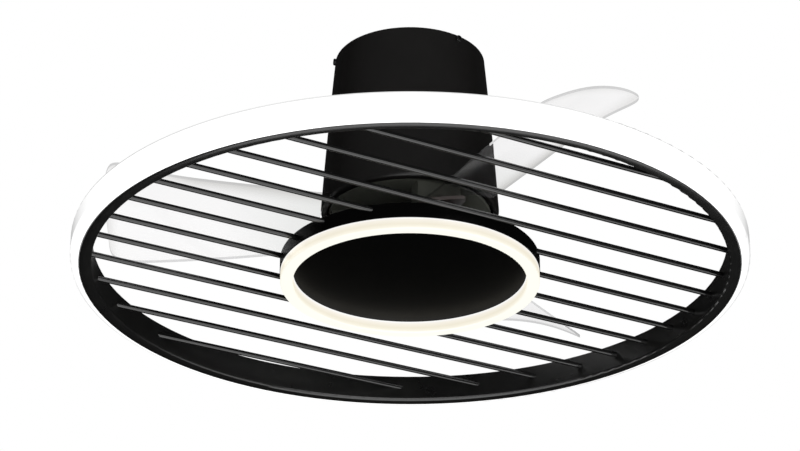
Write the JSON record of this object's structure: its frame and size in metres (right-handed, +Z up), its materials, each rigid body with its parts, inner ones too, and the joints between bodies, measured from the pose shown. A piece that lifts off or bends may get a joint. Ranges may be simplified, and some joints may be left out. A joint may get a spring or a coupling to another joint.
{
  "type": "ceiling fan",
  "caption": "Low ceiling fan: black round housing, clear blades, round centre lamp and a luminous ring held on a grille of parallel black rods.",
  "frame": {"origin": "centre of the ceiling bracket on the ceiling plane", "axes": "+Z up into the ceiling along the fan axis, the fan hangs down -Z; +X along the grille rods; +Y across them"},
  "size_m": [0.5999, 0.6, 0.2242],
  "materials": {
    "bracket_steel": "galvanised sheet",
    "housing_black": "satin black powder coat",
    "screw_black": "black",
    "screw_steel": "zinc plated",
    "shaft_steel": "turned steel",
    "ball_chrome": "polished",
    "race_steel": "ground steel",
    "aluminium_hub": "cast",
    "core_steel": "laminated sheet",
    "winding_copper": "enamelled copper wire",
    "rotor_black": "gloss black",
    "magnet_grey": "coated magnet",
    "driver_plastic": "moulded",
    "terminal_plastic": "moulded",
    "cable_rubber": "white sheath",
    "band_black": "satin black",
    "ring_white": "luminous opal acrylic",
    "board_white": "white solder mask",
    "lamp_black": "satin black",
    "face_black": "satin black",
    "lamp_ring_white": "luminous opal acrylic",
    "rod_black": "semi-gloss black",
    "blade_clear": "clear polycarbonate",
    "clamp_black": "gloss black"
  },
  "bodies": {
    "fan_frame": {"bearing_balls": "ball_chrome", "ceiling_bracket": "bracket_steel", "disc_body": "lamp_black", "disc_face_plate": "face_black", "disc_face_screws": "screw_black", "disc_led_board": "board_white", "disc_light_ring": "lamp_ring_white", "disc_nut": "screw_steel", "driver_box": "driver_plastic", "full_rod_far_1": "rod_black", "full_rod_far_2": "rod_black", "full_rod_far_3": "rod_black", "full_rod_far_4": "rod_black", "full_rod_near_1": "rod_black", "full_rod_near_2": "rod_black", "full_rod_near_3": "rod_black", "full_rod_near_4": "rod_black", "half_rod_left_1": "rod_black", "half_rod_left_2": "rod_black", "half_rod_left_3": "rod_black", "half_rod_left_4": "rod_black", "half_rod_left_5": "rod_black", "half_rod_right_1": "rod_black", "half_rod_right_2": "rod_black", "half_rod_right_3": "rod_black", "half_rod_right_4": "rod_black", "half_rod_right_5": "rod_black", "hanger_plate": "bracket_steel", "hanger_screws": "screw_steel", "hollow_shaft": "shaft_steel", "housing_shell": "housing_black", "housing_side_screws": "screw_black", "lower_bearing_inner_race": "race_steel", "ring_band": "band_black", "ring_diffuser": "ring_white", "ring_lead": "cable_rubber", "ring_led_strip": "board_white", "shaft_lead": "cable_rubber", "shaft_top_nut": "screw_steel", "spacer_sleeve": "shaft_steel", "stator_core": "core_steel", "stator_hub": "aluminium_hub", "stator_windings": "winding_copper", "terminal_block": "terminal_plastic", "upper_bearing_inner_race": "race_steel"},
    "rotor": {"blade_1": "blade_clear", "blade_2": "blade_clear", "blade_3": "blade_clear", "blade_clamp_1": "clamp_black", "blade_clamp_2": "clamp_black", "blade_clamp_3": "clamp_black", "blade_screws": "screw_black", "lower_bearing_outer_race": "race_steel", "rotor_back_iron": "core_steel", "rotor_cover": "aluminium_hub", "rotor_magnets": "magnet_grey", "rotor_screws": "screw_steel", "rotor_shell": "rotor_black", "upper_bearing_outer_race": "race_steel"}
  },
  "joints": [
    {"name": "rotor_spin", "type": "hinge", "parent": "fan_frame", "child": "rotor", "pos_m": [0, 0, -0.12], "axis": [0, 0, 1], "continuous": true}
  ]
}
